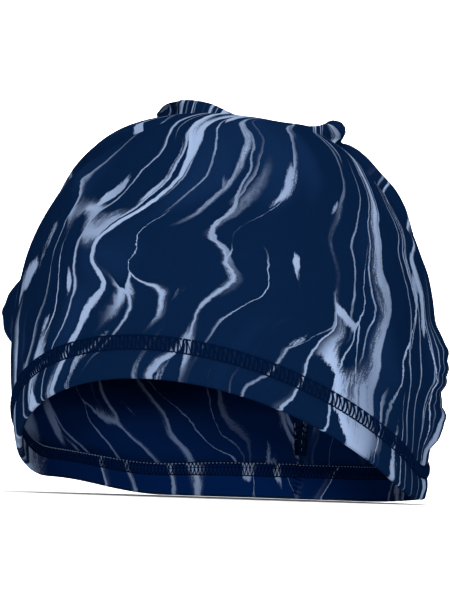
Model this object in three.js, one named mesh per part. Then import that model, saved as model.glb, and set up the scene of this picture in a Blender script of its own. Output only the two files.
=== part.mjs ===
// Uncuffed beanie: a smooth one-piece knit cap with a turned-in hem and a gathered back.
// Millimetres, +Z up. The cap rests on its hem. The wearer faces -Y and the wearer's left is +X.
// The origin is under the middle of the cap's box, on the surface that the cap rests on.

import * as THREE from 'three';

// Knit
const WALL = 1.1;               // wall of the shell
const HEM_WALL = 1.0;           // wall of the turned-in hem, pressed by its stitches
const GAP = 0.3;                // air between pieces that lie against each other

// Hem
const HEM_DEPTH = 16;           // how deep the hem is turned in
const BROW_RISE = 41.5;         // height of the hem's edge over the brow
const BROW_POWER = 1.08;        // how quickly the brow's arch falls towards the sides

// Back seam, inside the shell
const SEAM_WIDTH = 6;
const SEAM_THICKNESS = 1.5;
const SEAM_TOP = 118;           // height where the seam runs out

// Crown
const CROWN_LEAN = 0.085;       // slope of the crown, which stands higher at the wearer's right
const LEAN_FROM = 80;           // height where the lean starts
const LEAN_FULL = 125;          // height where it is full

// Grid of the faceted shell
const COLUMNS = 60;
const HEM_ROWS = 3;
const BODY_ROWS = 38;
const CROWN_DENSITY = 1.3;      // more than 1 sets the rows closer towards the crown
const NORMAL_STEP = 0.5;        // degrees and millimetres over which a face's direction is measured

const KNIT_NAVY = 0x14233f;
const INSIDE_NAVY = 0x0d1830;
const THREAD_NAVY = 0x0a1226;

// Sections of the shell from the hem to the crown. height is measured at the sides and the back,
// front and back are the reach along Y from the middle of the hem, and arch is the share of the
// brow's rise that is left.
const SECTIONS = [
  { height: 0, halfWidth: 76, front: -92.5, back: 93, arch: 1 },
  { height: 16, halfWidth: 78, front: -95.5, back: 95.5, arch: 1 },
  { height: 35, halfWidth: 79, front: -97, back: 97.5, arch: 0.85 },
  { height: 55, halfWidth: 79, front: -96.5, back: 98, arch: 0.61 },
  { height: 75, halfWidth: 77.2, front: -93, back: 96.5, arch: 0.37 },
  { height: 90, halfWidth: 73.6, front: -87, back: 93, arch: 0.21 },
  { height: 105, halfWidth: 67.8, front: -77.5, back: 87.5, arch: 0.09 },
  { height: 118, halfWidth: 60.5, front: -69, back: 79, arch: 0.02 },
  { height: 128, halfWidth: 53.3, front: -59, back: 70.5, arch: 0 },
  { height: 135.5, halfWidth: 45.5, front: -48, back: 62, arch: 0 },
  { height: 141, halfWidth: 36, front: -34, back: 54, arch: 0 },
  { height: 144.8, halfWidth: 25, front: -18, back: 44.5, arch: 0 },
  { height: 146.8, halfWidth: 12.5, front: -1, back: 32, arch: 0 },
  { height: 147.2, halfWidth: 0, front: 16, back: 16, arch: 0 },
];

// Gathers of the back, as lying lobes that start at each side and run to the back seam. side is -1
// at the wearer's right. starts is the angle from the front where a lobe comes up and rise the
// degrees that it takes. swell is how far it then stands out and stays what is left at the seam.
// climb is the rise of its crest for each degree.
const LOBES = [
  { side: -1, height: 20, halfHeight: 12, starts: 98, rise: 18, swell: 2.5, stays: 2, climb: 0.02 },
  { side: -1, height: 41, halfHeight: 13, starts: 96, rise: 18, swell: 3, stays: 3, climb: 0.03 },
  { side: -1, height: 68, halfHeight: 21, starts: 70, rise: 21, swell: 16.5, stays: 4, climb: 0.01 },
  { side: -1, height: 98, halfHeight: 14, starts: 100, rise: 18, swell: 3, stays: 3.5, climb: -0.02 },
  { side: -1, height: 120, halfHeight: 13, starts: 94, rise: 18, swell: 3, stays: 3, climb: -0.04 },
  { side: 1, height: 29, halfHeight: 13, starts: 85, rise: 17, swell: 5.5, stays: 2.5, climb: 0.03 },
  { side: 1, height: 49, halfHeight: 14, starts: 82, rise: 18, swell: 7, stays: 3.5, climb: 0.04 },
  { side: 1, height: 77, halfHeight: 13, starts: 112, rise: 18, swell: 2.5, stays: 4, climb: 0.03 },
  { side: 1, height: 100, halfHeight: 13, starts: 112, rise: 18, swell: 2.5, stays: 3.5, climb: 0 },
  { side: 1, height: 120, halfHeight: 12, starts: 98, rise: 18, swell: 2.5, stays: 3, climb: -0.03 },
];
const SETTLED_ANGLE = 165;      // angle from the front where every lobe has its height at the seam
const LOBE_FULLNESS = 1.4;      // more than 1 rounds a lobe's crest
const LOBE_TUCK = 0.16;         // how deep the shell tucks in ahead of a lobe, as a share of its swell
const SEAM_PINCH = 3.5;         // how far the gathered seam draws the back in
const PINCH_ANGLE = 11;         // degrees on each side of the seam that it draws in
const PINCH_TOP = 140;          // height over the seam where it no longer draws in
const FREE_FROM = 0.6;          // shares of the hem's depth over which the gathers come up
const FREE_FULL = 1.6;

// Side creases: from under each ear of the crown, forwards and down the side. The knit behind a
// crease stands a step proud, and the knit ahead of it dips.
const RIGHT_CREASE = [
  { height: 100, angle: 69, step: 0, dip: 0 },
  { height: 112, angle: 64, step: 0.2, dip: 1.2 },
  { height: 119, angle: 58, step: 0.3, dip: 2.8 },
  { height: 125.5, angle: 51, step: 0.3, dip: 4 },
  { height: 131, angle: 45, step: 0.2, dip: 4 },
  { height: 136, angle: 36, step: 0.1, dip: 3.4 },
  { height: 142, angle: 28, step: 0, dip: 1 },
  { height: 145, angle: 26, step: 0, dip: 0 },
];
const LEFT_CREASE = [
  { height: 96, angle: 106, step: 0, dip: 0 },
  { height: 112, angle: 106, step: 1.2, dip: 0.5 },
  { height: 124, angle: 105, step: 2.4, dip: 1 },
  { height: 134, angle: 104, step: 3, dip: 1.2 },
  { height: 141, angle: 106, step: 2.6, dip: 1 },
  { height: 147, angle: 110, step: 0, dip: 0 },
];
const CREASE_WIDTH = 5;         // degrees over which the step comes up
const CREASE_FADE = 60;         // degrees behind the crease where the step has gone
const DIP_WIDTH = 20;           // degrees ahead of the crease where the dip has gone

// Ears of the crown: the rolled ends of the fold that the crown is closed with. angle is from the
// front, down the distance from the crown's pole along the side, and spread the degrees on each side
// over which the ear runs out. size stretches the profile.
const EARS = [
  { side: -1, angle: 117, down: 32.5, spread: 42, size: 0.92, lift: 9.3, reach: 7 },
  { side: 1, angle: 112, down: 34.5, spread: 26, size: 0.6, lift: 5.6, reach: 6.2 },
];
// Profile of an ear down the side: along is the distance from the ear's middle, and out and up are
// the shares of the ear's reach and lift there. The roll hangs over a hollow.
const EAR_PROFILE = [
  { along: -27, out: 0, up: 0 },
  { along: -18, out: 0, up: 0.25 },
  { along: -11, out: 0, up: 0.7 },
  { along: -4, out: 0.35, up: 1 },
  { along: 1, out: 0.9, up: 1 },
  { along: 4.5, out: 1, up: 0.6 },
  { along: 7.5, out: 0.1, up: 0.1 },
  { along: 10.5, out: -0.55, up: -0.1 },
  { along: 15, out: -0.25, up: 0 },
  { along: 21, out: 0, up: 0 },
];

const DEGREE = Math.PI / 180;

function smoothstep(from, to, value) {
  const share = THREE.MathUtils.clamp((value - from) / (to - from), 0, 1);
  return share * share * (3 - 2 * share);
}

// A bell that is 1 at 0 and has gone at 1 on each side. A fullness over 1 broadens its top.
function bell(share, fullness = 1) {
  return Math.abs(share) < 1 ? Math.cos(Math.abs(share) ** fullness * Math.PI / 2) ** 2 : 0;
}

// The columns of a table at a value of its key column, on smooth curves through its rows.
function rowAt(table, key, value) {
  const last = table.length - 1;
  let row = 0;
  while (row < last - 1 && table[row + 1][key] < value) row += 1;
  const span = table[row + 1][key] - table[row][key];
  const share = THREE.MathUtils.clamp((value - table[row][key]) / span, 0, 1);
  const found = {};
  for (const column of Object.keys(table[0])) {
    found[column] = hermite(table, key, column, row, share);
  }
  return found;
}

function hermite(table, key, column, row, share) {
  const start = table[row];
  const end = table[row + 1];
  const span = end[key] - start[key];
  const square = share * share;
  const cube = square * share;
  return start[column] * (2 * cube - 3 * square + 1)
    + end[column] * (3 * square - 2 * cube)
    + slopeAt(table, key, column, row) * span * (cube - 2 * square + share)
    + slopeAt(table, key, column, row + 1) * span * (cube - square);
}

// A row's slope is the gentler of its neighbours' slopes, so that no curve overshoots its rows.
function slopeAt(table, key, column, row) {
  const before = table[Math.max(row - 1, 0)];
  const here = table[row];
  const after = table[Math.min(row + 1, table.length - 1)];
  const rising = row > 0 ? (here[column] - before[column]) / (here[key] - before[key]) : null;
  const leaving = after !== here ? (after[column] - here[column]) / (after[key] - here[key]) : null;
  if (rising === null) return leaving;
  if (leaving === null) return rising;
  if (rising * leaving <= 0) return 0;
  return 2 * rising * leaving / (rising + leaving);
}

// Distance along the side of the shell from the hem to each section.
function measureSections() {
  let travelled = 0;
  SECTIONS.forEach((section, index) => {
    if (index > 0) {
      const before = SECTIONS[index - 1];
      travelled += Math.hypot(section.halfWidth - before.halfWidth, section.height - before.height);
    }
    section.distance = travelled;
  });
  return travelled;
}

const GIRTH = measureSections();

function browArch(angle) {
  return BROW_RISE * Math.max(Math.cos(angle), 0) ** BROW_POWER;
}

// The shell without gathers, creases and ears, at an angle from the front and a distance from the hem.
function smoothShell(angle, distance) {
  const section = rowAt(SECTIONS, 'distance', distance);
  const middle = (section.front + section.back) / 2;
  const halfDepth = (section.back - section.front) / 2;
  return new THREE.Vector3(
    section.halfWidth * Math.sin(angle),
    middle - halfDepth * Math.cos(angle),
    section.height + section.arch * browArch(angle),
  );
}

function outwards(angle, distance) {
  const turned = NORMAL_STEP * DEGREE;
  const across = smoothShell(angle + turned, distance).sub(smoothShell(angle - turned, distance));
  const up = smoothShell(angle, distance + NORMAL_STEP).sub(smoothShell(angle, distance - NORMAL_STEP));
  return across.cross(up).normalize();
}

// How far the gathers move the shell outwards. degrees runs from 0 in front to 180 at the back.
function gather(side, degrees, height) {
  let moved = 0;
  for (const lobe of LOBES) {
    const crest = lobe.height + lobe.climb * (degrees - lobe.starts);
    const across = bell((height - crest) / lobe.halfHeight, LOBE_FULLNESS);
    const risen = smoothstep(lobe.starts, lobe.starts + lobe.rise, degrees);
    const settled = smoothstep(lobe.starts + lobe.rise, SETTLED_ANGLE, degrees);
    const tuck = bell((degrees - lobe.starts) / lobe.rise) * LOBE_TUCK * lobe.swell;
    if (lobe.side === side) {
      moved += across * (risen * THREE.MathUtils.lerp(lobe.swell, lobe.stays, settled) - tuck);
    }
  }
  return moved;
}

function pinch(degrees, height) {
  const overHem = smoothstep(HEM_DEPTH, 2 * HEM_DEPTH, height);
  const underCrown = 1 - smoothstep(SEAM_TOP, PINCH_TOP, height);
  return SEAM_PINCH * overHem * underCrown * bell((180 - degrees) / PINCH_ANGLE);
}

function creaseStep(side, degrees, height) {
  const table = side < 0 ? RIGHT_CREASE : LEFT_CREASE;
  if (height < table[0].height || height > table[table.length - 1].height) return 0;
  const crease = rowAt(table, 'height', height);
  const risen = smoothstep(crease.angle, crease.angle + CREASE_WIDTH, degrees);
  const gone = smoothstep(crease.angle + CREASE_WIDTH, crease.angle + CREASE_FADE, degrees);
  const ahead = bell((degrees - crease.angle) / DIP_WIDTH) * (1 - risen);
  return crease.step * risen * (1 - gone) - crease.dip * ahead;
}

// How far the ears of the crown move the shell out to its side and up.
function earRoll(side, degrees, distance) {
  const ear = EARS.find((each) => each.side === side);
  const profile = rowAt(EAR_PROFILE, 'along', (GIRTH - ear.down - distance) / ear.size);
  const share = bell((degrees - ear.angle) / ear.spread);
  return { out: side * ear.reach * profile.out * share, up: ear.lift * profile.up * share };
}

// A point of the shell's outer face. angle runs from the front towards the wearer's left.
function shellPoint(angle, distance) {
  const point = smoothShell(angle, distance);
  const turned = Math.atan2(Math.sin(angle), Math.cos(angle));
  const degrees = Math.abs(turned) / DEGREE;
  const side = turned < 0 ? -1 : 1;
  const { height } = rowAt(SECTIONS, 'distance', distance);
  const free = smoothstep(HEM_DEPTH * FREE_FROM, HEM_DEPTH * FREE_FULL, height);
  const gathered = gather(side, degrees, height) * free - pinch(degrees, height);
  const moved = gathered + creaseStep(side, degrees, height);
  point.addScaledVector(outwards(angle, distance), moved);
  const roll = earRoll(side, degrees, distance);
  point.x += roll.out;
  point.z += roll.up;
  point.z -= CROWN_LEAN * point.x * smoothstep(LEAN_FROM, LEAN_FULL, point.z);
  return point;
}

// Distances of the shell's rows from the hem: even over the hem, then closer towards the crown.
function rowDistances() {
  const distances = [];
  for (let row = 0; row < HEM_ROWS; row += 1) {
    distances.push(HEM_DEPTH * row / HEM_ROWS);
  }
  for (let row = 0; row < BODY_ROWS; row += 1) {
    const share = 1 - (1 - row / BODY_ROWS) ** CROWN_DENSITY;
    distances.push(HEM_DEPTH + (GIRTH - HEM_DEPTH) * share);
  }
  return distances;
}

// Angles of the shell's columns: even round the cap, with the back one split over the seam's width.
function columnAngles() {
  const seamShare = SEAM_WIDTH / 2 / SECTIONS[0].back;
  const angles = [];
  for (let column = 0; column < COLUMNS; column += 1) {
    const angle = 2 * Math.PI * column / COLUMNS;
    if (column === BACK_COLUMN) angles.push(angle - seamShare, angle, angle + seamShare);
    else angles.push(angle);
  }
  return angles;
}

const BACK_COLUMN = COLUMNS / 2;
const ROW_DISTANCES = rowDistances();
const COLUMN_ANGLES = columnAngles();

// Triangles of a block of the grid, as numbers of the grid's points. A block of all the columns runs
// round the cap, and one that also reaches the last row is closed with a fan at the crown's pole.
function blockFace(firstRow, lastRow, firstColumn, lastColumn) {
  const columns = COLUMN_ANGLES.length;
  const round = lastColumn - firstColumn === columns;
  const face = [];
  for (let column = firstColumn; column < lastColumn; column += 1) {
    const next = (column + 1) % columns;
    for (let row = firstRow; row < lastRow; row += 1) {
      const low = row * columns;
      const high = low + columns;
      face.push([low + column, low + next, high + next], [low + column, high + next, high + column]);
    }
    const top = lastRow * columns;
    const atCrown = round && lastRow === ROW_DISTANCES.length - 1;
    if (atCrown) face.push([top + column, top + next, top + columns]);
  }
  return face;
}

// The shell's outer face, with the normals that every wall is offset along.
function buildOuterFace() {
  const positions = [];
  for (const distance of ROW_DISTANCES) {
    for (const angle of COLUMN_ANGLES) positions.push(...shellPoint(angle, distance).toArray());
  }
  positions.push(...shellPoint(0, GIRTH).toArray());
  const geometry = new THREE.BufferGeometry();
  geometry.setAttribute('position', new THREE.Float32BufferAttribute(positions, 3));
  geometry.setIndex(blockFace(0, ROW_DISTANCES.length - 1, 0, COLUMN_ANGLES.length).flat());
  geometry.computeVertexNormals();
  return geometry;
}

const OUTER_FACE = buildOuterFace();

// A point of the outer face, moved inwards. The hem's edge moves level, so that it stays flat.
function offsetPoint(vertex, depth) {
  const point = new THREE.Vector3().fromBufferAttribute(OUTER_FACE.getAttribute('position'), vertex);
  const normal = new THREE.Vector3().fromBufferAttribute(OUTER_FACE.getAttribute('normal'), vertex);
  if (vertex < COLUMN_ANGLES.length) normal.setZ(0).normalize();
  return point.addScaledVector(normal, -depth);
}

// A closed body of cloth: a block of the outer face at one depth, its copy at a greater depth and
// walls along the block's edges. An edge of the block is one that no neighbour runs the other way.
function makeCloth(name, block, outerDepth, thickness, material) {
  const face = blockFace(...block);
  const numbers = new Map([...new Set(face.flat())].map((vertex, number) => [vertex, number]));
  const count = numbers.size;
  const positions = [];
  for (const depth of [outerDepth, outerDepth + thickness]) {
    for (const vertex of numbers.keys()) positions.push(...offsetPoint(vertex, depth).toArray());
  }
  const sides = new Set(face.flatMap(([a, b, c]) => [`${a} ${b}`, `${b} ${c}`, `${c} ${a}`]));
  const index = [];
  for (const corners of face) {
    const [a, b, c] = corners.map((vertex) => numbers.get(vertex));
    index.push(a, b, c, a + count, c + count, b + count);
    corners.forEach((from, corner) => {
      const to = corners[(corner + 1) % 3];
      if (sides.has(`${to} ${from}`)) return;
      const start = numbers.get(from);
      const end = numbers.get(to);
      index.push(end, start, start + count, end, start + count, end + count);
    });
  }
  const geometry = new THREE.BufferGeometry();
  geometry.setAttribute('position', new THREE.Float32BufferAttribute(positions, 3));
  geometry.setIndex(index);
  geometry.computeVertexNormals();
  const mesh = new THREE.Mesh(geometry, material);
  mesh.name = name;
  return mesh;
}

function knit(color, roughness) {
  return new THREE.MeshStandardMaterial({ color, roughness, metalness: 0 });
}

// The whole cap, in one piece.
function makeShell() {
  const block = [0, ROW_DISTANCES.length - 1, 0, COLUMN_ANGLES.length];
  return makeCloth('shell', block, 0, WALL, knit(KNIT_NAVY, 0.85));
}

// The hem, turned in and pressed against the inside of the shell.
function makeHemTurnup() {
  const block = [0, HEM_ROWS, 0, COLUMN_ANGLES.length];
  return makeCloth('hem_turnup', block, WALL + GAP, HEM_WALL, knit(INSIDE_NAVY, 0.9));
}

// The overlocked seam up the inside of the back, from the turned-in hem to the top of the gathers.
function makeBackSeam() {
  const top = ROW_DISTANCES.findIndex((distance) => smoothShell(Math.PI, distance).z > SEAM_TOP);
  const block = [HEM_ROWS + 1, top, BACK_COLUMN, BACK_COLUMN + 2];
  return makeCloth('back_seam', block, WALL + GAP, SEAM_THICKNESS, knit(THREAD_NAVY, 0.9));
}

const beanie = new THREE.Group();
beanie.name = 'uncuffed_beanie';
beanie.add(makeShell(), makeHemTurnup(), makeBackSeam());

// The tables measure from the middle of the hem, and the lobes stand out further on one side.
const middle = new THREE.Box3().setFromObject(beanie).getCenter(new THREE.Vector3());
beanie.position.set(-middle.x, -middle.y, 0);

export default beanie;
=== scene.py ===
import math

import bpy
import numpy as np
from mathutils import Matrix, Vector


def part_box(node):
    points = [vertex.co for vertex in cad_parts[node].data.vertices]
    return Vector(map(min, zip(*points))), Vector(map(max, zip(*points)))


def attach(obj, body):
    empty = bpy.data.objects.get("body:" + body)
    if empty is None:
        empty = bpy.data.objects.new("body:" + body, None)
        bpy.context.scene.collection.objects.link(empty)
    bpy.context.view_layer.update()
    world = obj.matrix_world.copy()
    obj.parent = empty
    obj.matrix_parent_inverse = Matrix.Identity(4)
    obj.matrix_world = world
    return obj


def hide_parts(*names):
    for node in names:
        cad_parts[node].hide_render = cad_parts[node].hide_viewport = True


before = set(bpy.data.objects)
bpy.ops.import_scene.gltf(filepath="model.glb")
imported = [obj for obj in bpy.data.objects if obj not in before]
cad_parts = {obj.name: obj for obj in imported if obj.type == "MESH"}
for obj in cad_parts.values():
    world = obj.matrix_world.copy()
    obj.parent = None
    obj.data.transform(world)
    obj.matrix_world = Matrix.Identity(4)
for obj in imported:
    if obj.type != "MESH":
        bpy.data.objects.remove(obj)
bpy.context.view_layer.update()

# The tables are in millimetres from the middle of the hem. The wearer faces -Y, and their left is +X.
MILLIMETRE = 0.001
HEM_LOW, HEM_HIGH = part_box("hem_turnup")
BOX_MIDDLE = 0.00025  # how far back the hem's box has its middle in the tables, in metres
HEM_MIDDLE = np.array([
    (HEM_LOW[0] + HEM_HIGH[0]) / 2,
    (HEM_LOW[1] + HEM_HIGH[1]) / 2 - BOX_MIDDLE,
    0.0,
])


def to_scene(points):
    """Points of the tables, in the scene's metres."""
    return np.asarray(points, dtype=float) * MILLIMETRE + HEM_MIDDLE


# Camera, at the photograph's angle and just above the floor
AZIMUTH = math.radians(19.7)
ELEVATION = math.radians(-4.0)
ROLL = math.radians(1.87)
CAMERA_DISTANCE = 1213.0
LOOK_POINT = np.array([0.0, 0.0, 90.0])
LOOK_PIXEL = (229.0, 262.5)  # where that point falls in the picture
IMAGE_WIDTH = 450
IMAGE_HEIGHT = 600
FOCUS_PIXELS = 3170.0
SENSOR_HEIGHT = 36.0
CLIP_NEAR = 0.01
CLIP_FAR = 60.0


def placed(right, up, back, where):
    """The matrix of a camera or light, from its directions and place."""
    matrix = np.eye(4)
    matrix[:3] = np.column_stack([right, up, back, where])
    return Matrix(matrix.tolist())


def make_camera():
    """Adds the camera, turned so that the point looked at falls on its pixel."""
    back = np.array([
        math.sin(AZIMUTH) * math.cos(ELEVATION),
        -math.cos(AZIMUTH) * math.cos(ELEVATION),
        math.sin(ELEVATION),
    ])
    where = to_scene(LOOK_POINT + back * CAMERA_DISTANCE)
    level = np.array([math.cos(AZIMUTH), math.sin(AZIMUTH), 0.0])
    upright = np.cross(level, -back)
    right = math.cos(ROLL) * level + math.sin(ROLL) * upright
    up = math.cos(ROLL) * upright - math.sin(ROLL) * level
    aside = (LOOK_PIXEL[0] - IMAGE_WIDTH / 2) / FOCUS_PIXELS
    above = (IMAGE_HEIGHT / 2 - LOOK_PIXEL[1]) / FOCUS_PIXELS
    forward = -back - aside * right - above * up
    forward /= np.linalg.norm(forward)
    right -= forward * (right @ forward)
    right /= np.linalg.norm(right)
    up = np.cross(right, forward)
    lens = bpy.data.cameras.new("camera")
    lens.sensor_fit = "VERTICAL"
    lens.sensor_height = SENSOR_HEIGHT
    lens.lens = SENSOR_HEIGHT * FOCUS_PIXELS / IMAGE_HEIGHT
    lens.clip_start = CLIP_NEAR
    lens.clip_end = CLIP_FAR
    camera = bpy.data.objects.new("camera", lens)
    bpy.context.scene.collection.objects.link(camera)
    camera.matrix_world = placed(right, up, -forward, where)
    bpy.context.scene.camera = camera


make_camera()


# Form of the cloth, from tables like those of the solids, with finer lobes, ears and hem
def table(columns, *rows):
    """A table as an array for each named column."""
    values = np.array(rows, dtype=float)
    return {name: values[:, number] for number, name in enumerate(columns.split())}


CLOTH = 1.1  # thickness of the knit
HEM_DEPTH = 16.0  # how deep the hem is turned in
HEM_THICKNESS = 2.4  # the shell and the turned-in hem, pressed together
NEEDLE_LINES = (10.4, 15.4)  # where the hem's needle lines lie, up from its edge
NEEDLE_GROOVE = 0.32  # how deep each needle line presses the cloth
NEEDLE_GROOVE_HALF = 1.6
HEM_PUFF = 0.22  # how far the hem puffs up below the lines
HEM_PUFF_MIDDLE = 5.2
HEM_PUFF_HALF = 5.0
EDGE_LEVEL = (-2.0, 5.5)  # up from the hem's edge, where its offset turns from level to square
OUTSIDE_DETAIL = 1.0  # how much of the fine folds the outer face has
INSIDE_DETAIL = 0.6  # and the inner face
BROW_RISE = 41.5  # how high the hem's edge arches over the brow
BROW_POWER = 1.08
BROW_ROUNDING = 0.012
SEAM_WIDTH = 6.0
SEAM_TOP = 118.0  # where the back seam's allowance runs out
SEAM_RADIUS = 93.0  # the back's distance from the middle, which turns a width into an angle
CROWN_LEAN = 0.085  # how far the crown falls for each millimetre to the wearer's left
LEAN_FROM = 80.0  # heights where the lean starts and is full
LEAN_FULL = 125.0

SECTIONS = table(
    "height half_width front back arch",
    (0, 76, -92.5, 93, 1),
    (16, 78, -95.5, 95.5, 1),
    (35, 79, -97, 97.5, 0.85),
    (55, 79, -96.5, 98, 0.61),
    (75, 77.2, -93, 96.5, 0.37),
    (90, 73.6, -87, 93, 0.21),
    (105, 67.8, -77.5, 87.5, 0.09),
    (118, 60.5, -69, 79, 0.02),
    (128, 53.3, -59, 70.5, 0),
    (135.5, 45.5, -48, 62, 0),
    (141, 36, -34, 54, 0),
    (144.8, 25, -18, 44.5, 0),
    (146.8, 12.5, -1, 32, 0),
    (147.2, 0, 16, 16, 0),
)
SECTIONS["distance"] = np.concatenate([
    [0],
    np.cumsum(np.hypot(np.diff(SECTIONS["height"]), np.diff(SECTIONS["half_width"]))),
])
GIRTH = SECTIONS["distance"][-1]

LOBE_COLUMNS = "side height half_height starts rise swell stays climb"
LOBES = table(
    LOBE_COLUMNS,
    (-1, 20, 12, 98, 18, 2.5, 2, 0.02),
    (-1, 41, 13, 96, 18, 3, 3, 0.03),
    (-1, 65.5, 24, 70, 21, 14.6, 4, 0.01),
    (-1, 98, 14, 100, 18, 3, 3.5, -0.02),
    (-1, 120, 13, 94, 18, 3, 3, -0.04),
    (1, 30, 10.5, 85, 17, 3.6, 2.5, 0.03),
    (1, 51.5, 17.5, 82, 18, 3.9, 3.5, 0.04),
    (1, 77, 13, 112, 18, 2.5, 4, 0.03),
    (1, 100, 13, 112, 18, 2.5, 3.5, 0),
    (1, 120, 12, 98, 18, 2.5, 3, -0.03),
)
# Small ruffles on and between the lobes, which the solids leave out
RUFFLES = table(
    LOBE_COLUMNS,
    (-1, 58, 3.5, 84, 10, 1.0, 0.8, 0.03),
    (-1, 65, 3.2, 82, 9, 1.3, 0.8, 0.02),
    (-1, 73, 4, 84, 10, 0.9, 0.6, 0),
    (-1, 47, 3.5, 104, 12, 0.9, 0.8, 0.02),
    (-1, 86, 4, 106, 12, 0.8, 0.8, -0.02),
    (-1, 107, 4, 104, 12, 0.8, 0.8, -0.04),
    (1, 23, 3, 92, 9, 0.9, 0.6, 0.03),
    (1, 32, 3, 90, 8, 0.7, 0.7, 0.04),
    (1, 38, 2.8, 88, 8, 0.8, 0.8, 0.05),
    (1, 44, 3, 88, 8, 0.8, 0.8, 0.05),
    (1, 50, 2.8, 90, 8, 0.7, 0.8, 0.05),
    (1, 57, 3, 92, 9, 0.7, 0.8, 0.04),
    (1, 70, 4, 116, 12, 0.9, 0.8, 0.02),
    (1, 88, 4, 116, 12, 0.8, 0.8, 0),
    (1, 109, 4, 106, 12, 0.8, 0.8, -0.03),
)
SETTLED_ANGLE = 165.0  # angle from the front where every lobe has its height at the seam
LOBE_FULLNESS = 1.4  # more than 1 rounds a lobe's crest
LOBE_TUCK = 0.16  # how deep the cloth tucks in ahead of a lobe, as a share of its swell
LOBES_FROM = 0.6 * HEM_DEPTH
LOBES_FULL = 1.6 * HEM_DEPTH
SEAM_PINCH = 3.5  # how far the gathered seam draws the back in
PINCH_ANGLE = 11.0
PINCH_HEIGHTS = ((HEM_DEPTH, 2 * HEM_DEPTH), (SEAM_TOP, 140))

# Side creases, where the knit behind stands proud of the knit ahead: step behind, dip ahead
CREASES = {
    -1: table(
        "height angle step dip",
        (100, 69, 0, 0),
        (112, 64, 0.2, 1.2),
        (119, 58, 0.3, 2.8),
        (125.5, 51, 0.3, 4),
        (131, 45, 0.2, 4),
        (136, 36, 0.1, 3.4),
        (142, 28, 0, 1),
        (145, 26, 0, 0),
    ),
    1: table(
        "height angle step dip",
        (96, 106, 0, 0),
        (112, 106, 1.2, 0.5),
        (124, 105, 2.4, 1),
        (134, 104, 3, 1.2),
        (141, 106, 2.6, 1),
        (147, 110, 0, 0),
    ),
}
CREASE_WIDTH = 2.0  # degrees in which the step rises
CREASE_FADE = 60.0  # degrees in which it fades out behind
DIP_WIDTH = 20.0  # degrees over which the knit ahead dips
DIP_SHARE = 0.8
FOOT_WIDTH = 5.0  # degrees over which it dips further, at the foot of the step
FOOT_SHARE = 0.35
# Folds that run beside each side crease, behind it: degrees behind, half width in degrees, depth
CREASE_FOLDS = table("behind half_width depth", (10, 3.4, 1.0), (18, 4, 1.1), (27, 4.5, 0.8))
FOLD_HEIGHTS = ((96, 114), (140, 147))

# Small gathers on both sides of the back seam, as waves up the cloth
GATHER_DEPTH = 0.75
GATHER_ANGLES = (118, 160)  # degrees from the front where they start and are full
GATHER_EDGE = (3.5, 8)  # degrees from the seam where they are flat and are full
GATHER_HEIGHTS = ((20, 34), (118, 136))
GATHER_WAVES = table("strength by_height by_side by_angle", (1, 0.86, 0.7, 0), (0.6, 0.53, 1.3, 0.03))

# Ears of the crown, by side. The solids have them too, but not the steep front end, the hollow of the
# roll in it and the inner side that runs on into the crown
EARS = {
    -1: {
        "front_start": 84, "front_end": 97, "angle": 112, "spread": 44, "down": 29, "size": 0.9,
        "lift": 7.8, "reach": 6.4, "hollow_angle": 92, "hollow_spread": 7.5, "hollow_along": 1.5,
        "hollow_half": 6.5, "hollow_depth": 10, "blend": 56,
    },
    1: {
        "front_start": 92, "front_end": 99, "angle": 110, "spread": 28, "down": 33.5, "size": 0.56,
        "lift": 5.6, "reach": 3.4, "hollow_angle": 96, "hollow_spread": 5.5, "hollow_along": 2,
        "hollow_half": 5.5, "hollow_depth": 9, "blend": 20,
    },
}
# The soft hem lifts a little off the floor at the sides
HEM_LIFTS = table("angle reach lift", (-99, 40, 5.4), (112, 45, 1.6))
# The hem is drawn in and pulled down at its stitch where it turns from the left side to the back
HEM_TUCK = {
    "angle": 101, "half_width": 24, "inwards": 1.8, "inwards_height": 17, "inwards_half": 13,
    "drop": 2.8, "drop_height": 15, "drop_half": 17,
}
HOLLOW_LENGTH = 14.0  # degrees by which the inside of each roll starts behind its front end
HOLLOW_END = (5.6, 7.4)  # along the profile, where this lag of the inside fades out
BLEND_ALONG = (-1, -17)  # along the profile, where the inner side starts to run on and is full
BLEND_START = 0.8  # how far ahead the front end then starts, as a share of the blend
EAR_PROFILES = {
    -1: table(
        "along out up",
        (-30, 0, 0),
        (-22, 0, 0.14),
        (-15, 0, 0.52),
        (-8, 0.2, 0.82),
        (-2, 0.6, 0.99),
        (1.5, 0.9, 0.88),
        (4.5, 0.95, 0.52),
        (7.5, 0.1, 0.1),
        (10.5, -0.55, -0.1),
        (15, -0.25, 0),
        (21, 0, 0),
    ),
    1: table(
        "along out up",
        (-30, 0, 0),
        (-17, 0, 0.18),
        (-10.5, 0, 0.3),
        (-6.5, 0.1, 0.6),
        (-3, 0.4, 0.97),
        (0.5, 0.8, 1),
        (4.2, 1, 0.62),
        (7.5, 0.1, 0.1),
        (10.5, -0.55, -0.1),
        (15, -0.25, 0),
        (21, 0, 0),
    ),
}


def smoothstep(start, end, value):
    share = np.clip((value - start) / (end - start), 0, 1)
    return share * share * (3 - 2 * share)


def between(limits, value):
    """1 between two limits and 0 outside them. Each is given as the start and the end of its slope."""
    rise, fall = limits
    return smoothstep(*rise, value) * (1 - smoothstep(*fall, value))


def bell(share, fullness=1.0):
    """A bell that is 1 at 0 and has gone at 1 on each side."""
    return np.cos(np.minimum(np.abs(share), 1) ** fullness * np.pi / 2) ** 2


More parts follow.
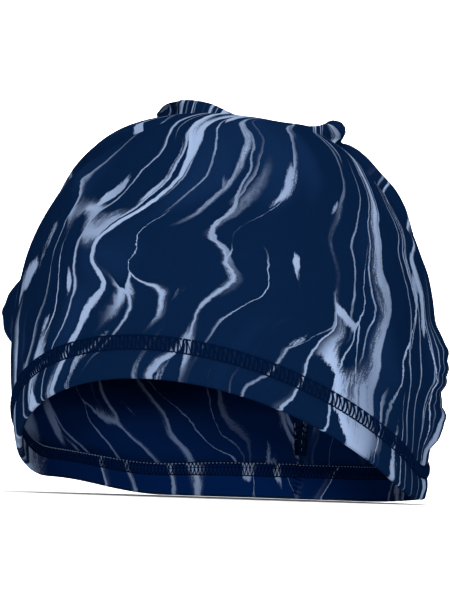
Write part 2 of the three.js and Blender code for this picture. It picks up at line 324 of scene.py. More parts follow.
def read(rows, key, column, at):
    """A column of a table at values of its key column, on a curve that overshoots no row."""
    keys, values = rows[key], rows[column]
    rises = np.diff(values) / np.diff(keys)
    slopes = np.concatenate([rises[:1], np.zeros(len(keys) - 2), rises[-1:]])
    together = rises[:-1] * rises[1:] > 0
    sums = np.where(together, rises[:-1] + rises[1:], 1)
    slopes[1:-1] = np.where(together, 2 * rises[:-1] * rises[1:] / sums, 0)
    at = np.asarray(at, dtype=float)
    row = np.clip(np.searchsorted(keys, at) - 1, 0, len(keys) - 2)
    span = keys[row + 1] - keys[row]
    share = np.clip((at - keys[row]) / span, 0, 1)
    square, cube = share ** 2, share ** 3
    return (
        values[row] * (2 * cube - 3 * square + 1)
        + values[row + 1] * (3 * square - 2 * cube)
        + slopes[row] * span * (cube - 2 * square + share)
        + slopes[row + 1] * span * (cube - square)
    )


def smooth_shell(angle, distance):
    """The shell without gathers, at an angle from the front and a distance up from the hem."""
    height, half_width, front, back, arch = (
        read(SECTIONS, "distance", column, distance)
        for column in ("height", "half_width", "front", "back", "arch")
    )
    ahead = (np.cos(angle) + np.sqrt(np.cos(angle) ** 2 + BROW_ROUNDING)) / 2
    brow = BROW_RISE * ahead ** BROW_POWER
    degrees = np.degrees(np.arctan2(np.sin(angle), np.cos(angle)))
    for middle, reach, lift in zip(*HEM_LIFTS.values()):
        brow = brow + lift * bell((degrees - middle) / reach)
    return np.stack([
        half_width * np.sin(angle),
        (front + back) / 2 - (back - front) / 2 * np.cos(angle),
        height + arch * brow,
    ], axis=-1)


def unit(vectors):
    return vectors / np.maximum(np.linalg.norm(vectors, axis=-1, keepdims=True), 1e-9)


def normals_of(surface, angle, distance, step=0.5):
    turned = math.radians(step)
    across = surface(angle + turned, distance) - surface(angle - turned, distance)
    up = surface(angle, np.minimum(distance + step, GIRTH)) - surface(angle, np.maximum(distance - step, 0))
    return unit(np.cross(across, up))


def gather(rows, side, degrees, height):
    """How far the rows of lobes or ruffles move the cloth outwards."""
    moved = np.zeros(np.broadcast(degrees, height).shape)
    for row in range(len(rows["side"])):
        each = {name: column[row] for name, column in rows.items()}
        crest = each["height"] + each["climb"] * (degrees - each["starts"])
        across = bell((height - crest) / each["half_height"], LOBE_FULLNESS)
        full = each["starts"] + each["rise"]
        risen = smoothstep(each["starts"], full, degrees)
        settled = smoothstep(full, SETTLED_ANGLE, degrees)
        tuck = bell((degrees - each["starts"]) / each["rise"]) * LOBE_TUCK * each["swell"]
        swell = each["swell"] + (each["stays"] - each["swell"]) * settled
        moved += np.where(side == each["side"], across * (risen * swell - tuck), 0)
    return moved


def crease_step(side, degrees, height):
    """The knit behind each side crease stands proud of the knit ahead of it."""
    moved = np.zeros(np.broadcast(degrees, height).shape)
    for crease_side, crease in CREASES.items():
        angle, step, dip = (read(crease, "height", column, height) for column in ("angle", "step", "dip"))
        here = (side == crease_side) & (height > crease["height"][0]) & (height < crease["height"][-1])
        risen = smoothstep(angle, angle + CREASE_WIDTH, degrees)
        gone = smoothstep(angle + CREASE_WIDTH, angle + CREASE_FADE, degrees)
        ahead = DIP_SHARE * bell((degrees - angle) / DIP_WIDTH)
        ahead = ahead + FOOT_SHARE * bell((degrees - angle) / FOOT_WIDTH)
        ahead = ahead * (1 - risen)
        moved += np.where(here, step * risen * (1 - gone) - dip * ahead, 0)
    return moved


def fine_folds(side, degrees, height):
    """The folds that the solids leave out: ruffles, folds beside the creases, gathers at the seam."""
    moved = gather(RUFFLES, side, degrees, height)
    crease = np.where(
        side < 0,
        read(CREASES[-1], "height", "angle", height),
        read(CREASES[1], "height", "angle", height),
    )
    near_crease = between(FOLD_HEIGHTS, height)
    for behind, half_width, depth in zip(*CREASE_FOLDS.values()):
        moved -= depth * near_crease * bell((degrees - crease - behind) / half_width)
    at_seam = smoothstep(*GATHER_ANGLES, degrees) * smoothstep(*GATHER_EDGE, 180 - degrees)
    at_seam = at_seam * between(GATHER_HEIGHTS, height)
    waves = sum(
        strength * np.sin(height * by_height + side * by_side + degrees * by_angle)
        for strength, by_height, by_side, by_angle in zip(*GATHER_WAVES.values())
    )
    return moved + GATHER_DEPTH * at_seam * waves


def hem_relief(distance):
    """The needle lines press the hem, and the cloth puffs up below them."""
    pressed = sum(bell((distance - line) / NEEDLE_GROOVE_HALF) for line in NEEDLE_LINES)
    return HEM_PUFF * bell((distance - HEM_PUFF_MIDDLE) / HEM_PUFF_HALF) - NEEDLE_GROOVE * pressed


def hem_tuck(side, degrees, distance):
    """How far the hem is drawn in, and how far it is pulled down."""
    tucked = np.where(side > 0, bell((degrees - HEM_TUCK["angle"]) / HEM_TUCK["half_width"]), 0)
    drawn_in = HEM_TUCK["inwards"] * bell((distance - HEM_TUCK["inwards_height"]) / HEM_TUCK["inwards_half"])
    dropped = HEM_TUCK["drop"] * bell((distance - HEM_TUCK["drop_height"]) / HEM_TUCK["drop_half"])
    return tucked * drawn_in, tucked * dropped


def roll_ears(point, side, degrees, distance, outside):
    """Moves points of the crown onto its two ears."""
    for ear_side, ear in EARS.items():
        down = (GIRTH - ear["down"] - distance) / ear["size"]
        inner = ear["blend"] * smoothstep(*BLEND_ALONG, down)
        late = np.where(outside, 0, HOLLOW_LENGTH) * (1 - smoothstep(*HOLLOW_END, down))
        reached = degrees + inner - late
        front = smoothstep(ear["front_start"] - BLEND_START * inner, ear["front_end"], reached)
        back = np.where(degrees > ear["angle"], bell((degrees - ear["angle"]) / ear["spread"]), 1)
        on_ear = np.where(side == ear_side, front * back, 0)
        profile = EAR_PROFILES[ear_side]
        hollow = bell((degrees - ear["hollow_angle"]) / ear["hollow_spread"])
        hollow = hollow * bell((down - ear["hollow_along"]) / ear["hollow_half"]) * ear["hollow_depth"]
        point[..., 0] += ear_side * ear["reach"] * on_ear * read(profile, "along", "out", down)
        point[..., 1] += np.where((side == ear_side) & outside, hollow, 0)
        point[..., 2] += ear["lift"] * on_ear * read(profile, "along", "up", down)


def cloth(angle, distance, detail=OUTSIDE_DETAIL):
    """A point of the cloth's outer face. The angle runs from the front to the wearer's left."""
    turned = np.arctan2(np.sin(angle), np.cos(angle))
    degrees = np.abs(np.degrees(turned))
    side = np.where(turned < 0, -1, 1)
    height = read(SECTIONS, "distance", "height", distance)
    free = smoothstep(LOBES_FROM, LOBES_FULL, height)
    moved = gather(LOBES, side, degrees, height) * free + crease_step(side, degrees, height)
    pinched = between(PINCH_HEIGHTS, height) * bell((180 - degrees) / PINCH_ANGLE)
    moved = moved - SEAM_PINCH * pinched
    moved = moved + detail * (fine_folds(side, degrees, height) * free + hem_relief(distance))
    drawn_in, dropped = hem_tuck(side, degrees, distance)
    point = smooth_shell(angle, distance)
    point = point + normals_of(smooth_shell, angle, distance) * (moved - drawn_in)[..., None]
    point[..., 2] -= dropped
    roll_ears(point, side, degrees, distance, np.asarray(detail) > INSIDE_DETAIL)
    point[..., 2] -= CROWN_LEAN * point[..., 0] * smoothstep(LEAN_FROM, LEAN_FULL, point[..., 2])
    return point


BAND_SHOWN = 0.87  # the share of the hem's depth that the turned-in band shows
BAND_PULL = 0.2  # how much less it is where the band is pulled down most, at the wearer's right
BAND_PULL_ANGLE = -105.0
BAND_PULL_HALF = 65.0


def band_share(angle):
    """The share of the hem's depth that the turned-in band shows at an angle."""
    degrees = np.degrees(np.arctan2(np.sin(angle), np.cos(angle)))
    return BAND_SHOWN - BAND_PULL * bell((degrees - BAND_PULL_ANGLE) / BAND_PULL_HALF)


def cloth_at(angle, distance, lift, detail=OUTSIDE_DETAIL):
    """A point at a lift off the cloth's outer face, and the normal that it was lifted along."""
    given = (np.asarray(values, dtype=float) for values in (angle, distance, lift))
    angle, distance, lift = np.broadcast_arrays(*given)

    def surface(at_angle, at_distance):
        return cloth(at_angle, at_distance, detail)

    normal = normals_of(surface, angle, distance)
    normal[..., 2] *= smoothstep(*EDGE_LEVEL, distance)
    normal = unit(normal)
    return surface(angle, distance) + normal * lift[..., None], normal


# Making meshes
def add_object(name, points, faces, materials, uvs=None, slots=None):
    """A mesh object at the origin, from points in the tables' millimetres."""
    mesh = bpy.data.meshes.new(name)
    mesh.from_pydata(to_scene(points).tolist(), [], faces)
    for material in materials:
        mesh.materials.append(material)
    if slots is not None:
        mesh.polygons.foreach_set("material_index", np.asarray(slots, dtype=np.int32))
    mesh.polygons.foreach_set("use_smooth", np.ones(len(mesh.polygons), dtype=bool))
    if uvs is not None:
        layer = mesh.uv_layers.new(name="cloth")
        layer.data.foreach_set("uv", np.asarray(uvs, dtype=np.float32).ravel())
    mesh.update()
    made = bpy.data.objects.new(name, mesh)
    bpy.context.scene.collection.objects.link(made)
    return made


def strip_faces(rows, columns):
    """Faces between the rows of a grid of points whose last column meets the first."""
    row, column = np.meshgrid(np.arange(rows - 1), np.arange(columns), indexing="ij")
    near = (column + 1) % columns
    return np.stack([
        row * columns + column,
        (row + 1) * columns + column,
        (row + 1) * columns + near,
        row * columns + near,
    ], axis=-1).reshape(-1, 4)


def strip_uvs(flat):
    """The flat places of the corners of such faces. The grid's first column comes again as its last."""
    low, high = flat[..., :-1, :, :], flat[..., 1:, :, :]
    return np.stack([low[..., :-1, :], high[..., :-1, :], high[..., 1:, :], low[..., 1:, :]], axis=-2)


CAP_COLUMNS = 330
CAP_TOP = GIRTH - 0.6  # the last ring before the crown's middle
HEM_RINGS = (HEM_THICKNESS / 2, 18, 0.8)  # first, end and step of the rings of each stretch
WALL_RINGS = (18, 128, 1.5)
CROWN_RINGS = (128, CAP_TOP, 1.12)
INNER_WALL_RINGS = (HEM_DEPTH + 0.9, GIRTH - 60, 2.8)
INNER_CROWN_RINGS = (GIRTH - 60, CAP_TOP, 2)
FOLD_STEPS = 7  # steps round the fold of the hem's edge
BAND_RINGS = 16
PRINT_RADIUS = 86.0  # the cap's radius that the print is cut for
CROWN_RADIUS = 40.0  # below this radius the print narrows to the crown's middle
PRINTED, WRONG, BAND = 0, 1, 2
RING_COLUMNS = ("distance", "depth", "printed", "detail", "slot", "on_band")


def print_radius(distance):
    """The radius that the print is laid out on. It shrinks half as fast as the crown."""
    half_width, front, back = (
        read(SECTIONS, "distance", column, distance) for column in ("half_width", "front", "back")
    )
    radius = (half_width + (back - front) / 2) / 2
    return (PRINT_RADIUS * smoothstep(0, CROWN_RADIUS, radius) + radius) / 2


def cap_rings():
    """Rings from the crown down the outside, round the hem and up the inside to the crown again. Each
    has its distance from the hem's edge, its depth under the outer face, its distance on the print, its
    share of the fine folds, its material's number and whether it is on the turned-in band."""
    outside = [np.arange(*stretch) for stretch in (HEM_RINGS, WALL_RINGS, CROWN_RINGS)] + [[CAP_TOP]]
    outside = np.concatenate(outside)[::-1]
    rings = [(distance, 0, distance, OUTSIDE_DETAIL, PRINTED, 0) for distance in outside]
    radius = HEM_THICKNESS / 2
    for step in range(1, FOLD_STEPS):
        turn = math.pi * step / FOLD_STEPS
        distance, depth = radius * (1 - math.sin(turn)), radius * (1 - math.cos(turn))
        travelled = radius * (math.pi / 2 - turn)
        rings.append((distance, depth, travelled, OUTSIDE_DETAIL, PRINTED, 0))
    for distance in np.linspace(radius, HEM_DEPTH, BAND_RINGS):
        rings.append((distance, HEM_THICKNESS, -distance, INSIDE_DETAIL, BAND, 1))
    # Two rings round the raw edge of the band
    rings.append((HEM_DEPTH + 0.35, HEM_THICKNESS - 0.2, -HEM_DEPTH - 0.4, INSIDE_DETAIL, BAND, 1))
    rings.append((HEM_DEPTH + 0.5, CLOTH + 0.5, HEM_DEPTH + 0.5, INSIDE_DETAIL, WRONG, 1))
    inside = np.concatenate([np.arange(*INNER_WALL_RINGS), np.arange(*INNER_CROWN_RINGS), [CAP_TOP]])
    rings += [(distance, CLOTH, distance, INSIDE_DETAIL, WRONG, 0) for distance in inside]
    return dict(zip(RING_COLUMNS, np.array(rings).T))


def make_cap(materials):
    """The cap with its turned-in hem, as one closed sheet."""
    rings = cap_rings()
    count = len(rings["distance"])
    edges = np.linspace(-np.pi, np.pi, CAP_COLUMNS + 1)
    angle, distance = np.meshgrid(edges[:-1], rings["distance"])
    shown = np.where(rings["on_band"][:, None] > 0, band_share(edges), 1)
    points, _ = cloth_at(angle, distance * shown[:, :-1], -rings["depth"][:, None], rings["detail"][:, None])
    poles = [cloth(np.array([0.0]), np.array([GIRTH]))[0]] * 2
    poles[1] = poles[1] - np.array([0, 0, CLOTH])
    points = np.concatenate([points.reshape(-1, 3), poles])
    faces = strip_faces(count, CAP_COLUMNS)
    across = edges[None, :] * print_radius(rings["distance"])[:, None]
    along = rings["printed"][:, None] * shown
    flat = np.stack([across, along], axis=-1) * MILLIMETRE
    slots = np.repeat(rings["slot"][:-1], CAP_COLUMNS)
    each = np.arange(CAP_COLUMNS)
    beside = (each + 1) % CAP_COLUMNS
    outer_pole = np.full(CAP_COLUMNS, len(points) - 2)
    inner_pole = np.full(CAP_COLUMNS, len(points) - 1)
    last = (count - 1) * CAP_COLUMNS
    outer_fan = np.stack([outer_pole, each, beside], axis=-1)
    inner_fan = np.stack([inner_pole, last + beside, last + each], axis=-1)
    pole_flat = np.full((CAP_COLUMNS, 2), (0, GIRTH * MILLIMETRE))
    outer_uvs = np.stack([pole_flat, flat[0, :-1], flat[0, 1:]], axis=1).reshape(-1, 2)
    inner_uvs = np.stack([pole_flat, flat[-1, 1:], flat[-1, :-1]], axis=1).reshape(-1, 2)
    all_faces = faces.tolist() + outer_fan.tolist() + inner_fan.tolist()
    all_uvs = np.concatenate([strip_uvs(flat).reshape(-1, 2), outer_uvs, inner_uvs])
    all_slots = np.concatenate([slots, np.full(CAP_COLUMNS, PRINTED), np.full(CAP_COLUMNS, WRONG)])
    return add_object("knit_cap", points, all_faces, materials, all_uvs, all_slots)


THREAD_END = 0.55  # how thin the ends of a thread are, as a share of its radius
OUTWARDS = [0, 3, 2, 1]  # the order of a face's corners in which a tube faces outwards


def make_threads(name, groups, material, sides=6):
    """Threads as closed tubes. Each group is (points, normals, radius): the points of many threads of
    one length, in rows, with the cloth's normals under them."""
    turn = np.linspace(0, 2 * np.pi, sides, endpoint=False)[:, None]
    around = np.arange(sides + 1) / sides
    all_points, all_faces, all_uvs, start = [], [], [], 0
    for points, normals, radius in groups:
        threads, length, _ = points.shape
        tangent = unit(np.gradient(points, axis=1))
        beside = unit(np.cross(tangent, normals))
        over = np.cross(beside, tangent)
        reach = np.full((length, 1, 1), radius)
        reach[[0, -1]] *= THREAD_END
        ring = np.cos(turn) * beside[:, :, None, :] + np.sin(turn) * over[:, :, None, :]
        tube = points[:, :, None, :] + reach * ring
        steps = np.linalg.norm(np.diff(points, axis=1), axis=-1)
        travelled = np.concatenate([np.zeros((threads, 1)), np.cumsum(steps, axis=1)], axis=1)
        flat = np.stack(np.broadcast_arrays(around, travelled[:, :, None]), axis=-1)
        first = start + np.arange(threads)[:, None] * length * sides
        quads = first[:, :, None] + strip_faces(length, sides)[:, OUTWARDS]
        starts = first + np.arange(sides)[::-1]
        ends = starts[:, ::-1] + (length - 1) * sides
        all_points.append(tube.reshape(-1, 3))
        all_faces += quads.reshape(-1, 4).tolist() + starts.tolist() + ends.tolist()
        all_uvs.append(strip_uvs(flat)[..., OUTWARDS, :].reshape(-1, 2))
        all_uvs.append(np.zeros((2 * threads * sides, 2)))
        start += threads * length * sides
    return add_object(name, np.concatenate(all_points), all_faces, [material], np.concatenate(all_uvs))


STITCHES = 158  # stitches of the cover stitch round the hem
STITCH_ANGLE = 2 * math.pi / STITCHES
NET_MESHES = 2 * STITCHES  # meshes of the net inside, round the hem
NET_ANGLE = STITCH_ANGLE / 2


def threads_along(first_angle, angles, distances, lifts, radius, inside=False):
    """Threads that start at many angles and all run the same way from there."""
    angle = first_angle[:, None] + angles
    if inside:
        distances = distances * band_share(angle)
    points, normals = cloth_at(angle, distances, lifts, INSIDE_DETAIL if inside else OUTSIDE_DETAIL)
    return points, normals, radius


def make_hem_stitch(material):
    """The two-needle cover stitch on the outside of the hem: two needle lines and the looper's ladder."""
    first = (np.arange(STITCHES) + 0.5) * STITCH_ANGLE - math.pi
    low, high = NEEDLE_LINES
    share = np.array([0, 0.08, 0.3, 0.5, 0.7, 0.92, 1])
    span = high - low
    groups = []
    for line in NEEDLE_LINES:
        angles = STITCH_ANGLE * (0.04 + 0.92 * share)
        lifts = [-0.25, 0.1, 0.2, 0.22, 0.2, 0.1, -0.25]
        groups.append(threads_along(first, angles, line, lifts, 0.3))
    # Two bars for each stitch, and a thin slanting thread between them
    bar_lifts = np.array([-0.2, 0.28, 0.42, 0.45, 0.42, 0.28, -0.2])
    lean = STITCH_ANGLE * np.array([0, 0, 0.02, 0.05, 0.08, 0.1, 0.1])
    groups.append(threads_along(first, lean, low + 0.1 + (span - 0.2) * share, bar_lifts, 0.4))
    second = STITCH_ANGLE * np.array([0.4, 0.44, 0.48, 0.5, 0.5, 0.42, 0.3])
    groups.append(threads_along(first, second, low + 0.2 + (span - 0.4) * share, bar_lifts - 0.06, 0.34))
    slant = STITCH_ANGLE * (0.5 + 0.5 * share)
    slant_lifts = [-0.1, 0.18, 0.24, 0.24, 0.24, 0.18, -0.1]
    groups.append(threads_along(first, slant, high - span * share, slant_lifts, 0.16))
    return make_threads("hem_stitch", groups, material)


def make_hem_cover(material):
    """The same stitch inside: a net of looper threads over the raw edge of the turned-in hem."""
    first = np.arange(NET_MESHES) * NET_ANGLE - math.pi
    share = np.linspace(0, 1, 7)
    lifts = -HEM_THICKNESS - np.array([0.0, 0.2, 0.28, 0.3, 0.28, 0.2, 0.0])
    low, high = NEEDLE_LINES[0], HEM_DEPTH + 0.3
    crossing = low + (high - low) * share
    groups = [
        threads_along(first, NET_ANGLE * share, crossing, lifts, 0.22, True),
        threads_along(first, -NET_ANGLE * share, crossing, lifts - 0.1, 0.22, True),
    ]
    for line, radius in ((low, 0.3), ((low + high) / 2, 0.2), (high - 0.2, 0.3)):
        groups.append(threads_along(first, NET_ANGLE * share, line, lifts, radius, True))
    return make_threads("hem_cover_stitch", groups, material, sides=5)


def make_cover_dots(material):
    """The pale needle loops that show in the net's upper edge."""
    first = (np.arange(NET_MESHES) + 0.25) * NET_ANGLE - math.pi
    angles = NET_ANGLE * np.array([0, 0.15, 0.3, 0.45, 0.55])
    lifts = -HEM_THICKNESS - np.array([0.2, 0.45, 0.52, 0.45, 0.2])
    group = threads_along(first, angles, HEM_DEPTH - 0.2, lifts, 0.18, True)
    return make_threads("hem_needle_loops", [group], material, sides=5)


def make_seam_allowance(material):
    """The overlocked seam allowance up the inside of the back: a soft strip with rounded edges."""
    half = SEAM_WIDTH / 2
    along = np.arange(HEM_DEPTH + 2, SEAM_TOP - 2, 1.3)
    there = [-1, -0.98, -0.8, -0.4, 0, 0.4, 0.8, 0.98]
    across = half * np.array(there + [-share for share in there])
    depth = np.array([2.1, 2.5, 2.8, 2.9, 2.85, 2.9, 2.8, 2.5, 2.1, 1.7, 1.45, 1.4, 1.4, 1.4, 1.45, 1.7])
    wave = 0.35 * np.sin(along * 0.9) + 0.25 * np.sin(along * 0.37)
    angle = np.pi + (across[None, :] + wave[:, None] * (across[None, :] / half)) / SEAM_RADIUS
    points, _ = cloth_at(angle, along[:, None], -depth, 0.0)
    rows, sides = angle.shape
    ends = [list(range(sides)), list(range((rows - 1) * sides, rows * sides))[::-1]]
    faces = strip_faces(rows, sides).tolist() + ends
    around = np.append(across, across[0])
    flat = np.stack(np.meshgrid(around, along), axis=-1) * MILLIMETRE
    uvs = np.concatenate([strip_uvs(flat).reshape(-1, 2), np.zeros((2 * sides, 2))])
    return add_object("seam_allowance", points.reshape(-1, 3), faces, [material], uvs)


OVERLOCK_PITCH = 2.6


def overlock_group(starts, across, rise, depth, radius):
    """Threads that start at many heights of the back seam and all run the same way across it."""
    points, normals = cloth_at(np.pi + across / SEAM_RADIUS, starts[:, None] + rise, -depth, 0.0)
    return points, -normals, radius


def make_overlock(material):
    """Overlock threads over the seam allowance, carried on down over the turned-in hem."""
    starts = np.arange(HEM_DEPTH + 3, SEAM_TOP - 6, OVERLOCK_PITCH)
    over = np.array([-3.15, -2.6, -1.2, 0, 1.2, 2.4, 3.15])
    depth = np.array([2.1, 2.95, 3.1, 3.12, 3.1, 2.95, 2.1])
    groups = [
        overlock_group(starts, over, 0.2 * (over + 3) / 6 * OVERLOCK_PITCH, depth, 0.22),
        overlock_group(starts, over[::-1], (over + 3) / 6 * OVERLOCK_PITCH, depth + 0.05, 0.2),
    ]
    hem_starts = np.arange(1.5, HEM_DEPTH - 1, 1.9)
    hem_over = np.array([-2.4, -2, -1, 0, 1, 2, 2.4])
    hem_depth = HEM_THICKNESS + np.array([0, 0.25, 0.35, 0.38, 0.35, 0.25, 0])
    groups.append(overlock_group(hem_starts, hem_over, 0.25 * (hem_over + 2.4), hem_depth, 0.26))
    return make_threads("seam_overlock", groups, material, sides=5)


def make_overlock_loops(material):
    """The pale loops of the needle thread along the seam."""
    starts = np.arange(HEM_DEPTH + 3.6, SEAM_TOP - 6, OVERLOCK_PITCH)
    rise = np.array([0, 0.3, 0.7, 1.1, 1.4])
    depth = np.array([2.9, 3.25, 3.32, 3.25, 2.9])
    groups = [
        overlock_group(starts, 1.9, rise, depth, 0.2),
        overlock_group(starts + 0.8, -1.4, rise * 0.7, depth, 0.16),
    ]
    return make_threads("seam_needle_loops", groups, material, sides=5)


# Materials
def srgb(red, green, blue):
    values = [part / 255 for part in (red, green, blue)]
    return tuple(v / 12.92 if v <= 0.04045 else ((v + 0.055) / 1.055) ** 2.4 for v in values) + (1.0,)


GROUND_NAVY = srgb(5, 22, 48)
GROUND_LIGHT = srgb(15, 37, 71)
STREAK_BLUE = srgb(131, 149, 179)
# The wrong side shows the print muted, which is its own colour. Its ground is also bluer and lighter than
# the outside's: painted shade tint and painted light for the inside of the cap
WRONG_GROUND = srgb(3, 26, 65)
# Painted shade tint and painted light: the turned-in band is the same printed cloth as the outside, but its
# ground is bluer and lighter. This stands in for the blue cast of its shade and for light that does not
# reach into the cap
BAND_SHADE_TINTED_GROUND = srgb(2, 27, 70)
WRONG_STREAK = srgb(112, 132, 170)
# Thread colours: each thread's twist is painted darker in the grooves between its plies as painted shade,
# and lighter on their crests as painted highlight
THREAD_NAVY = srgb(1, 9, 30)
THREAD_PALE = srgb(108, 124, 156)
THREAD_NAVY_CREST_HIGHLIGHT = srgb(3, 17, 44)
THREAD_PALE_GROOVE_SHADE = srgb(78, 94, 126)
FLOOR_GREY = (0.91, 0.915, 0.92, 1.0)
FLOOR_PALE = (0.93, 0.93, 0.93, 1.0)


# The print. Its lengths are centimetres on the cloth: X round the cap and Y up it
PRINT_SHIFT = (15.0, 140.0, 0.0)  # which stretch of the printed cloth the cap is cut from
LOBE_SHADE_PLACE = (-13.7, 7.0, 0.0)  # painted shade: a spot on the big lobe at the wearer's right whose streaks are taken out, so that it stays dark as in shade
LOBE_SHADE_INNER = 1.8  # this far from its middle the streaks start to come in
LOBE_SHADE_OUTER = 3.2  # and this far from it they are full
PRINT_SLANT = -0.2
# Noises that bend the print: shift, scale, detail and how far they bend it
PRINT_BENDS = (
    ((31.0, 7.0, 2.0), 0.13, 0.5, (7.0, 5.0, 0.0)),
    ((3.0, 17.0, 9.0), 0.5, 0.0, (1.15, 1.6, 0.0)),
    ((8.0, 1.0, 5.0), 2.2, 2.0, (0.15, 0.3, 0.0)),
)
# Noises with a grain along the streaks: how close they are across and along, and their slice, scale,
# detail and roughness
FIBRES = (8.0, 1.0, 3.0, 1.0, 2.0, 0.6)
SPECKS = (19.0, 10.0, 8.0, 1.0, 1.5, 0.6)
LONG_LINES = (1.0, 0.1, 21.0, 0.2, 0.0, 0.5)
SPINDLES = (0.85, 0.2, 41.0, 1.0, 1.0, 0.5)
# Broad noises: how close they are across and along, and their slice
LINES_ZONE = (0.13, 0.06, 31.0)
TONE = (0.5, 0.2, 0.0)
WASH = (0.3, 0.12, 0.0)
# The streaks lie along the borders of long cells. crisp and feathered are their widths, and gap the
# values of a noise between which they come in
MAIN_VEINS = {
    "cells_across": 0.27, "cells_along": 0.05, "shift": 0.0,
    "crisp_width": 0.034, "feathered_width": 0.22, "gap": (0.41, 0.51),
}
BRANCH_VEINS = {
    "cells_across": 0.52, "cells_along": 0.085, "shift": 5.3,
    "crisp_width": 0.034, "feathered_width": 0.13, "gap": (0.44, 0.54),
}
BRANCH_SHARE = 0.8
SPINDLE_SHARE = 0.85
LINE_SHARE = 0.8
LINES_PER_FIELD = 10.0
WASH_SHARE = 0.4


def put(tree, kind, inputs=None, **settings):
    """Adds a node. inputs are values or sockets for its inputs, by name or number."""
    made = tree.nodes.new(kind)
    for name, value in settings.items():
        setattr(made, name, value)
    for name, value in (inputs or {}).items():
        if isinstance(value, bpy.types.NodeSocket):
            tree.links.new(value, made.inputs[name])
        else:
            made.inputs[name].default_value = value
    return made


def maths(tree, operation, first, second=None, third=None, clamp=False):
    values = {number: value for number, value in enumerate((first, second, third)) if value is not None}
    return put(tree, "ShaderNodeMath", values, operation=operation, use_clamp=clamp).outputs[0]


def times(tree, first, second, clamp=False):
    return maths(tree, "MULTIPLY", first, second, clamp=clamp)


def times_plus(tree, first, second, third):
    return maths(tree, "MULTIPLY_ADD", first, second, third)


def larger(tree, first, second):
    return maths(tree, "MAXIMUM", first, second)


def vector_maths(tree, operation, first, second):
    return put(tree, "ShaderNodeVectorMath", {0: first, 1: second}, operation=operation).outputs[0]


def noise(tree, vector, scale, detail=0.0, roughness=0.5):
    inputs = {"Vector": vector, "Scale": scale, "Detail": detail, "Roughness": roughness}
    return put(tree, "ShaderNodeTexNoise", inputs, noise_dimensions="3D")


def centred(tree, noise_node):
    """A noise's colour as a vector around zero."""
    return vector_maths(tree, "SUBTRACT", noise_node.outputs["Color"], (0.5, 0.5, 0.5))


def ramp(tree, value, start, end):
    inputs = {"Value": value, "From Min": start, "From Max": end, "To Min": 0.0, "To Max": 1.0}
    return put(tree, "ShaderNodeMapRange", inputs, interpolation_type="SMOOTHSTEP").outputs[0]


def mix(tree, share, first, second):
    """A mix of two colours, which the node has as its inputs 6 and 7."""
    return put(tree, "ShaderNodeMix", {"Factor": share, 6: first, 7: second}, data_type="RGBA").outputs[2]


def new_group(name, inputs, outputs):
    tree = bpy.data.node_groups.new(name, "ShaderNodeTree")
    for label, kind, default in inputs:
        socket = tree.interface.new_socket(name=label, in_out="INPUT", socket_type=kind)
        if default is not None:
            socket.default_value = default
    for label, kind in outputs:
        tree.interface.new_socket(name=label, in_out="OUTPUT", socket_type=kind)
    return tree, tree.nodes.new("NodeGroupInput"), tree.nodes.new("NodeGroupOutput")


def grain(tree, across, up, settings):
    """A noise with its grain along the streaks, from settings as listed for FIBRES."""
    close_across, close_along, piece, scale, detail, roughness = settings
    place = put(tree, "ShaderNodeCombineXYZ", {
        "X": times(tree, across, close_across),
        "Y": times(tree, up, close_along),
        "Z": piece,
    }).outputs[0]
    return noise(tree, place, scale, detail, roughness).outputs[0]


def broad(tree, flow, settings, detail=0.0):
    """A broad noise, from settings as listed for LINES_ZONE."""
    close_across, close_along, piece = settings
    place = vector_maths(tree, "MULTIPLY", flow, (close_across, close_along, 1.0))
    return noise(tree, vector_maths(tree, "ADD", place, (0.0, 0.0, piece)), 1.0, detail).outputs[0]


def veins(tree, across, up, rough, settings):
    """Streaks along the borders of long cells: crisp lines, and on some sides feathered veils too."""
    shift, width = settings["shift"], settings["crisp_width"]
    cells = put(tree, "ShaderNodeCombineXYZ", {
        "X": times_plus(tree, across, settings["cells_across"], shift),
        "Y": times(tree, up, settings["cells_along"]),
    }).outputs[0]
    pattern = {"Vector": cells, "Scale": 1.0, "Randomness": 0.95}
    borders = put(
        tree, "ShaderNodeTexVoronoi", pattern, voronoi_dimensions="2D", feature="DISTANCE_TO_EDGE"
    )
    centres = put(tree, "ShaderNodeTexVoronoi", pattern, voronoi_dimensions="2D", feature="F1")
    edge = borders.outputs["Distance"]
    lot = put(tree, "ShaderNodeSeparateColor", {0: centres.outputs["Color"]}).outputs[0]
    swell = noise(tree, vector_maths(tree, "ADD", cells, (7.0 + shift, 3.0, 1.0)), 1.3, 1.0).outputs[0]
    swell = ramp(tree, swell, 0.34, 0.66)

    # Crisp lines swell and thin, and their edge is worn by the fibres
    crisp_width = times_plus(tree, swell, width, width * 0.35)
    worn = times_plus(tree, rough, width * 0.3, edge)
    crisp = maths(tree, "SUBTRACT", 1.0, maths(tree, "DIVIDE", worn, crisp_width, clamp=True))
    crisp = ramp(tree, crisp, 0.0, 0.45)

    # Veils fade away from the line, specked by the fibres, in about half of the cells
    side = ramp(tree, lot, 0.42, 0.5)
    soft_width = times_plus(tree, times(tree, swell, side), settings["feathered_width"], 0.004)
    soft = maths(tree, "SUBTRACT", 1.0, maths(tree, "DIVIDE", edge, soft_width, clamp=True))
    soft = maths(tree, "POWER", soft, 1.15)
    specked = times_plus(tree, rough, -0.85, times(tree, soft, 1.75))
    specked = ramp(tree, specked, -0.05, 0.85)
    soft = times_plus(tree, specked, 0.7, times(tree, soft, 0.3))

    both = maths(tree, "MAXIMUM", crisp, soft, clamp=True)
    gap = noise(tree, vector_maths(tree, "ADD", cells, (shift, 19.0, 6.0)), 0.9, 1.0).outputs[0]
    return times(tree, both, ramp(tree, gap, *settings["gap"]))


